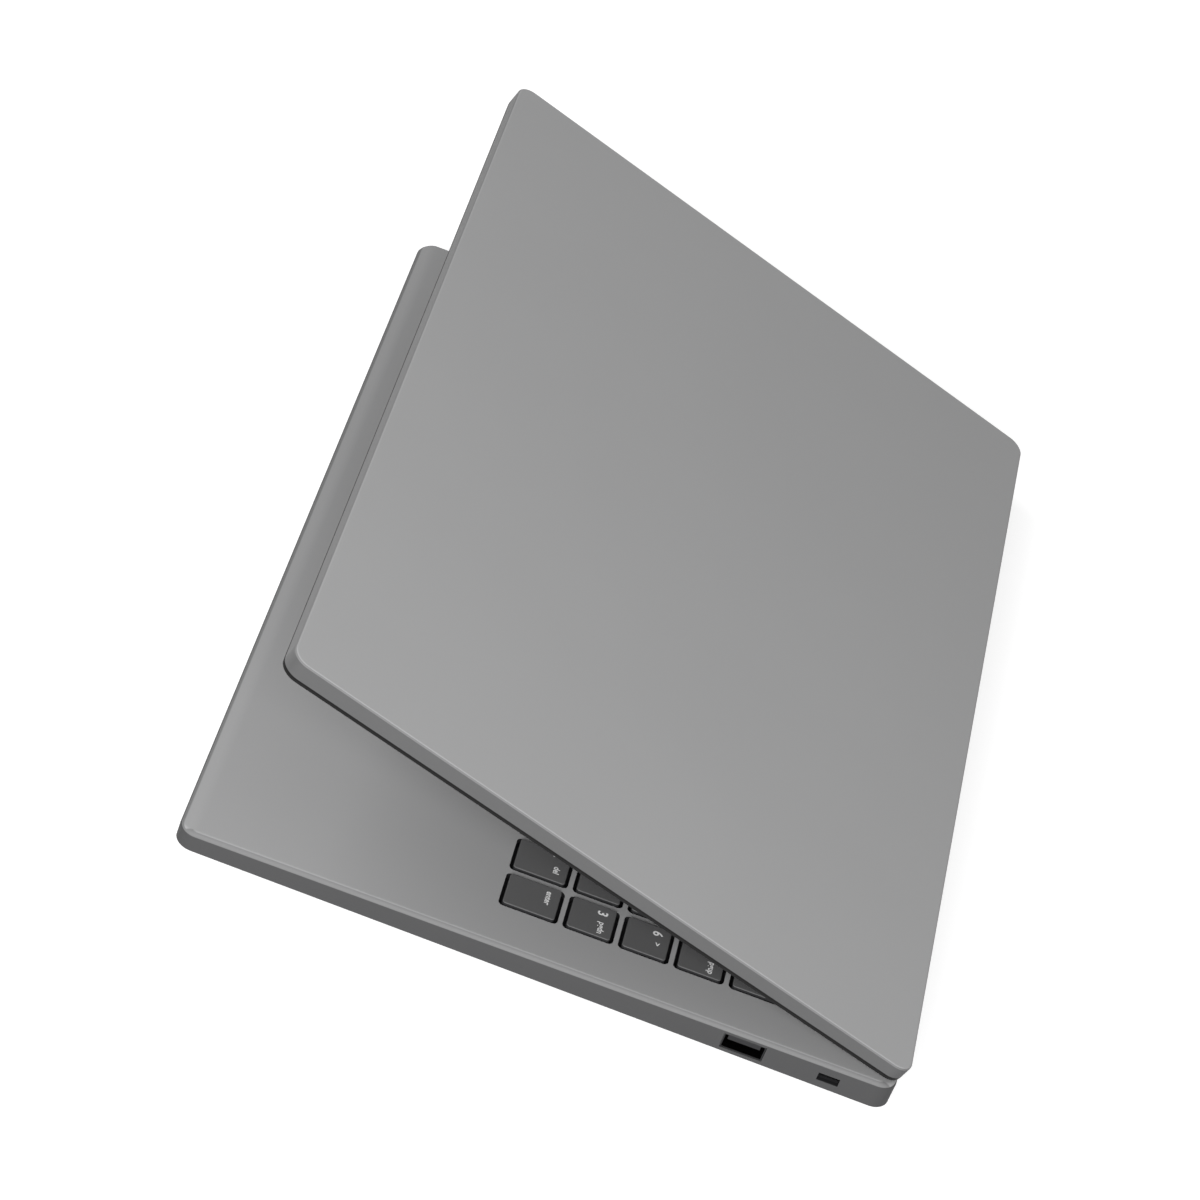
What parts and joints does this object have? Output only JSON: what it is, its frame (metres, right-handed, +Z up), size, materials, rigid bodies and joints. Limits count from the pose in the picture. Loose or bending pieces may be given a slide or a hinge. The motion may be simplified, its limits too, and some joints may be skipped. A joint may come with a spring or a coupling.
{
  "type": "laptop computer",
  "caption": "Clamshell laptop computer with its lid held partly open on friction hinges, with a sprung keyboard, a clicking touchpad, side sockets and a cooling fan.",
  "frame": {"origin": "on the table under the middle of the base, at the bottom of the rubber feet", "axes": "+X to the user's right, +Y from the user to the hinges, +Z up"},
  "size_m": [0.36, 0.2371, 0.0931],
  "materials": {
    "shell_grey": "satin grey paint",
    "pan_grey": "fine texture",
    "key_black": "matt",
    "rubber_black": "matt",
    "bezel_black": "fine texture",
    "display_glass": "dark, anti-glare",
    "touch_grey": "smooth",
    "steel": "stamped",
    "board_green": "solder mask",
    "chip_black": "matt",
    "copper": "plain copper",
    "fin_aluminium": "plain",
    "cable": "film"
  },
  "bodies": {
    "base": {"audio_jack": "chip_black", "battery_pack": "chip_black", "bottom_cover": "pan_grey", "bottom_screws": "steel", "cold_plate": "copper", "display_cable_base": "cable", "fan_housing": "chip_black", "fin_stack": "fin_aluminium", "heat_pipe": "copper", "hinge_base_bracket_left": "steel", "hinge_base_bracket_right": "steel", "hinge_base_screws": "steel", "key_dome_sheet": "rubber_black", "keyboard_plate": "steel", "lock_plate": "steel", "mainboard": "board_green", "memory_chips": "chip_black", "power_inlet": "chip_black", "processor": "chip_black", "rubber_feet": "rubber_black", "side_board": "board_green", "side_board_cable": "cable", "solid_state_drive": "board_green", "speakers": "chip_black", "top_case": "shell_grey", "touchpad_bracket": "steel", "touchpad_switch": "chip_black", "type_a_socket_left": "steel", "type_a_socket_right": "steel", "type_c_socket": "steel", "video_socket": "steel", "wireless_card": "board_green"},
    "lid": {"lid_cover": "shell_grey", "display_bezel": "bezel_black", "display_panel": "display_glass", "camera_module": "board_green", "camera_lens": "display_glass", "lid_bumpers": "rubber_black", "hinge_lid_bracket_right": "steel", "hinge_lid_bracket_left": "steel", "hinge_pin_right": "steel", "hinge_pin_left": "steel", "hinge_sleeves": "bezel_black", "hinge_lid_screws": "steel", "display_cable_lid": "cable"},
    "touchpad": {"touchpad": "touch_grey"},
    "fan_rotor": {"fan_rotor": "chip_black"},
    "keypad_front_row": {"keypad_front_row": "key_black"},
    "keypad_home_row": {"keypad_home_row": "key_black"},
    "keypad_lower_row": {"keypad_lower_row": "key_black"},
    "keypad_number_row": {"keypad_number_row": "key_black"},
    "keypad_upper_row": {"keypad_upper_row": "key_black"},
    "keys_front_row": {"keys_front_row": "key_black"},
    "keys_function_row": {"keys_function_row": "key_black"},
    "keys_home_row": {"keys_home_row": "key_black"},
    "keys_lower_row": {"keys_lower_row": "key_black"},
    "keys_number_row": {"keys_number_row": "key_black"},
    "keys_upper_row": {"keys_upper_row": "key_black"},
    "power_button": {"power_button": "key_black"},
    "space_bar": {"space_bar": "key_black"}
  },
  "joints": [
    {"name": "lid_hinge", "type": "hinge", "parent": "base", "child": "lid", "pos_m": [0, 0.1165, 0.0161], "axis": [-1, 0, 0], "range_deg": [-17.4, 117.5]},
    {"name": "touchpad_click", "type": "hinge", "parent": "base", "child": "touchpad", "pos_m": [-0.02, -0.036, 0.0124], "axis": [1, 0, 0], "range_deg": [0, 0.5], "stiffness_Nm_per_rad": 60},
    {"name": "fan_spin", "type": "hinge", "parent": "base", "child": "fan_rotor", "pos_m": [0.04, 0.071, 0.0065], "axis": [0, 0, 1], "continuous": true},
    {"name": "keypad_front_row_press", "type": "slide", "parent": "base", "child": "keypad_front_row", "axis": [0, 0, -1], "range_m": [0, 0.0014], "stiffness_N_per_m": 1200, "deforming": ["key_dome_sheet"]},
    {"name": "keypad_home_row_press", "type": "slide", "parent": "base", "child": "keypad_home_row", "axis": [0, 0, -1], "range_m": [0, 0.0014], "stiffness_N_per_m": 1200},
    {"name": "keypad_lower_row_press", "type": "slide", "parent": "base", "child": "keypad_lower_row", "axis": [0, 0, -1], "range_m": [0, 0.0014], "stiffness_N_per_m": 1200},
    {"name": "keypad_number_row_press", "type": "slide", "parent": "base", "child": "keypad_number_row", "axis": [0, 0, -1], "range_m": [0, 0.0014], "stiffness_N_per_m": 1200},
    {"name": "keypad_upper_row_press", "type": "slide", "parent": "base", "child": "keypad_upper_row", "axis": [0, 0, -1], "range_m": [0, 0.0014], "stiffness_N_per_m": 1200},
    {"name": "keys_front_row_press", "type": "slide", "parent": "base", "child": "keys_front_row", "axis": [0, 0, -1], "range_m": [0, 0.0014], "stiffness_N_per_m": 1200},
    {"name": "keys_function_row_press", "type": "slide", "parent": "base", "child": "keys_function_row", "axis": [0, 0, -1], "range_m": [0, 0.0014], "stiffness_N_per_m": 1200},
    {"name": "keys_home_row_press", "type": "slide", "parent": "base", "child": "keys_home_row", "axis": [0, 0, -1], "range_m": [0, 0.0014], "stiffness_N_per_m": 1200},
    {"name": "keys_lower_row_press", "type": "slide", "parent": "base", "child": "keys_lower_row", "axis": [0, 0, -1], "range_m": [0, 0.0014], "stiffness_N_per_m": 1200},
    {"name": "keys_number_row_press", "type": "slide", "parent": "base", "child": "keys_number_row", "axis": [0, 0, -1], "range_m": [0, 0.0014], "stiffness_N_per_m": 1200},
    {"name": "keys_upper_row_press", "type": "slide", "parent": "base", "child": "keys_upper_row", "axis": [0, 0, -1], "range_m": [0, 0.0014], "stiffness_N_per_m": 1200},
    {"name": "power_button_press", "type": "slide", "parent": "base", "child": "power_button", "axis": [0, 0, -1], "range_m": [0, 0.0014], "stiffness_N_per_m": 400},
    {"name": "space_bar_press", "type": "slide", "parent": "base", "child": "space_bar", "axis": [0, 0, -1], "range_m": [0, 0.0014], "stiffness_N_per_m": 400}
  ]
}
